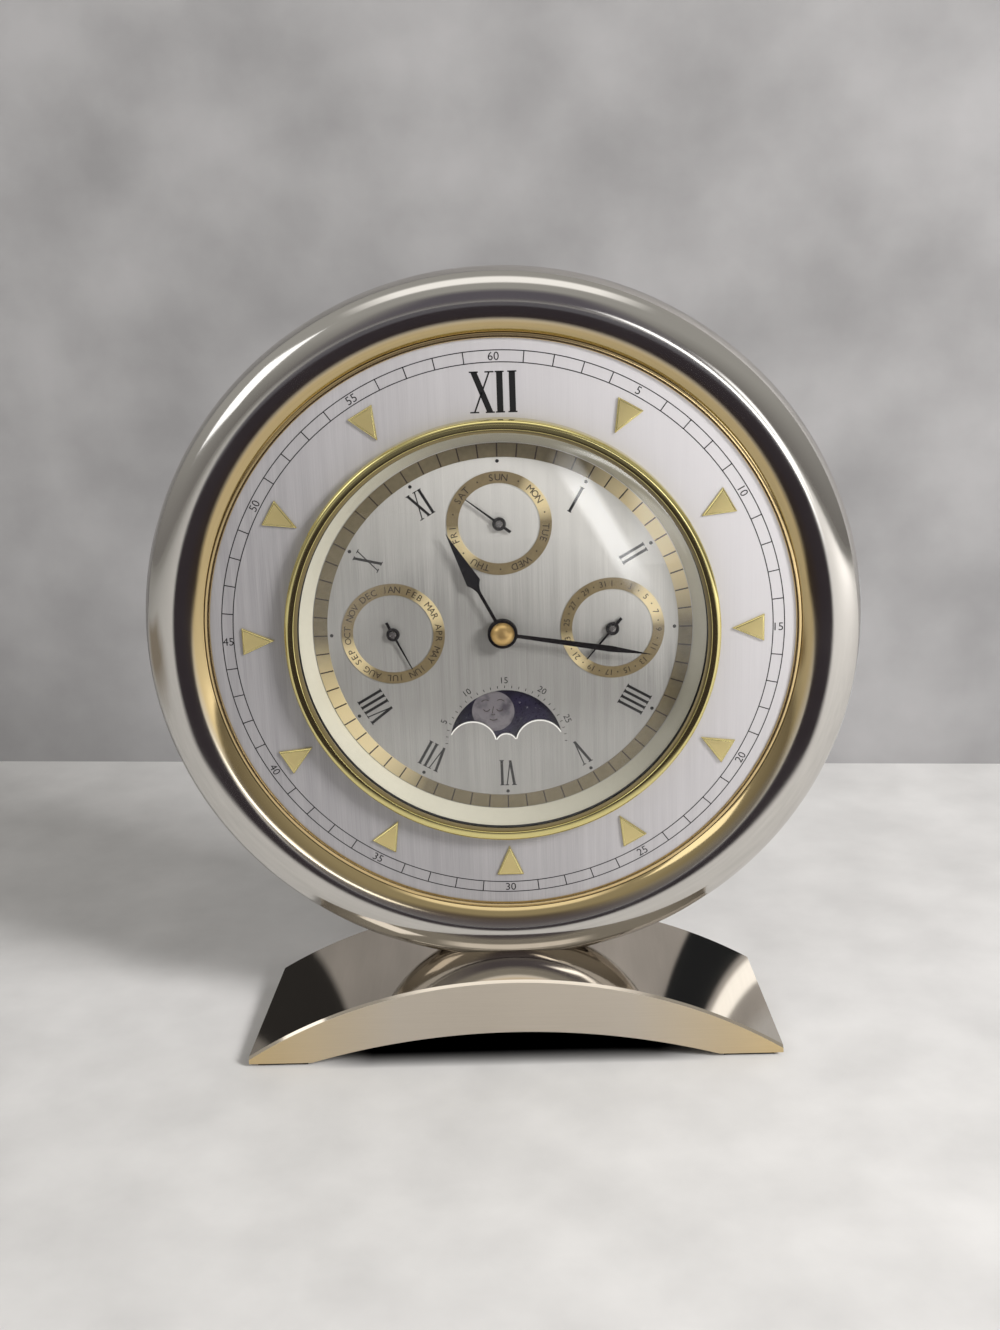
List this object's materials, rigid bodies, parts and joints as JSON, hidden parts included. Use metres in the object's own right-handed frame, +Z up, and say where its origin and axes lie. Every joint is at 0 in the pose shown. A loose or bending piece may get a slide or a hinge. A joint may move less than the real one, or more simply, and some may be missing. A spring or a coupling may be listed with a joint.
{
  "type": "moon phase desk clock",
  "caption": "Round desk clock on an arched foot, with an inner dial for the time, day, date, month and phase of the moon.",
  "frame": {"origin": "on the surface that the clock stands on, under the middle of its foot", "axes": "+Z up, the dial looks towards -Y, +X to the right as the dial is read"},
  "size_m": [0.1788, 0.0475, 0.1986],
  "materials": {
    "foot_metal": "satin champagne plate",
    "felt": "felt",
    "steel": "plain",
    "case_plate": "polished",
    "gold_plate": "polished",
    "dial_metal": "brushed",
    "cover_paint": "satin",
    "gasket": "matt",
    "crystal": "clear",
    "reflector": "satin",
    "black_plastic": "moulded",
    "white_plastic": "moulded",
    "moon_print": "printed",
    "hand_black": "gloss",
    "brass_wheel": "plain",
    "board": "printed board",
    "copper": "wound",
    "cell_sleeve": "plain sleeve"
  },
  "bodies": {
    "case": {"base_arch": "foot_metal", "foot_pads": "felt", "base_washers": "steel", "base_screws": "steel", "case_ring": "case_plate", "chapter_dial": "dial_metal", "trim_ring": "gold_plate", "hour_markers": "gold_plate", "back_cover": "cover_paint", "cover_screws": "steel", "insert_bezel": "gold_plate", "crystal_gasket": "gasket", "insert_crystal": "crystal", "insert_cup": "black_plastic", "retaining_ring": "steel", "reflector_ring": "reflector", "centre_dial": "dial_metal", "dial_rings": "gold_plate", "calendar_plate": "white_plastic", "jumper_springs": "steel", "corrector_blades": "steel", "movement_front": "black_plastic", "movement_rear": "black_plastic", "movement_screws": "steel", "fixing_nut": "brass_wheel", "battery_contacts": "steel", "stator": "steel", "motor_coil": "copper", "circuit_board": "board", "quartz_can": "steel"},
    "minute": {"cannon_pinion": "steel", "minute_hand": "hand_black", "hand_cap": "gold_plate"},
    "hour": {"hour_wheel": "brass_wheel", "hour_hand": "hand_black"},
    "minute_wheel": {"minute_wheel": "brass_wheel"},
    "setting": {"setting_pinion": "steel", "setting_knob": "black_plastic"},
    "day": {"day_star": "brass_wheel", "day_pointer": "hand_black"},
    "date": {"date_wheel": "brass_wheel", "date_pointer": "hand_black"},
    "month": {"month_star": "brass_wheel", "month_pointer": "hand_black"},
    "moon": {"moon_wheel": "brass_wheel", "moon_disc": "moon_print"},
    "day_button": {"day_button": "black_plastic"},
    "date_button": {"date_button": "black_plastic"},
    "month_button": {"month_button": "black_plastic"},
    "moon_button": {"moon_button": "black_plastic"},
    "battery": {"battery": "cell_sleeve"}
  },
  "joints": [
    {"name": "minute_turn", "type": "hinge", "parent": "case", "child": "minute", "pos_m": [0, 0, 0.1092], "axis": [0, 1, 0], "continuous": true},
    {"name": "hour_turn", "type": "hinge", "parent": "case", "child": "hour", "pos_m": [0, 0, 0.1092], "axis": [0, 1, 0], "continuous": true},
    {"name": "minute_wheel_turn", "type": "hinge", "parent": "case", "child": "minute_wheel", "pos_m": [0.01125, 0, 0.1092], "axis": [0, 1, 0], "continuous": true},
    {"name": "setting_turn", "type": "hinge", "parent": "case", "child": "setting", "pos_m": [0.0225, 0, 0.1092], "axis": [0, 1, 0], "continuous": true},
    {"name": "day_turn", "type": "hinge", "parent": "case", "child": "day", "pos_m": [0, 0, 0.1367], "axis": [0, 1, 0], "continuous": true},
    {"name": "date_turn", "type": "hinge", "parent": "case", "child": "date", "pos_m": [0.0275, 0, 0.1092], "axis": [0, 1, 0], "continuous": true},
    {"name": "month_turn", "type": "hinge", "parent": "case", "child": "month", "pos_m": [-0.0275, 0, 0.1092], "axis": [0, 1, 0], "continuous": true},
    {"name": "moon_turn", "type": "hinge", "parent": "case", "child": "moon", "pos_m": [0, 0, 0.0792], "axis": [0, 1, 0], "continuous": true},
    {"name": "day_press", "type": "slide", "parent": "case", "child": "day_button", "axis": [0, -1, 0], "range_m": [0, 0.0008], "stiffness_N_per_m": 300},
    {"name": "date_press", "type": "slide", "parent": "case", "child": "date_button", "axis": [0, -1, 0], "range_m": [0, 0.0008], "stiffness_N_per_m": 300},
    {"name": "month_press", "type": "slide", "parent": "case", "child": "month_button", "axis": [0, -1, 0], "range_m": [0, 0.0008], "stiffness_N_per_m": 300},
    {"name": "moon_press", "type": "slide", "parent": "case", "child": "moon_button", "axis": [0, -1, 0], "range_m": [0, 0.0008], "stiffness_N_per_m": 300},
    {"name": "battery_out", "type": "slide", "parent": "case", "child": "battery", "axis": [0, 1, 0], "range_m": [0, 0.02]}
  ],
  "couplings": [
    {"joint": "hour_turn", "follows": "minute_turn", "ratio": 0.083333},
    {"joint": "minute_wheel_turn", "follows": "minute_turn", "ratio": -0.33333},
    {"joint": "setting_turn", "follows": "minute_turn", "ratio": 1}
  ]
}
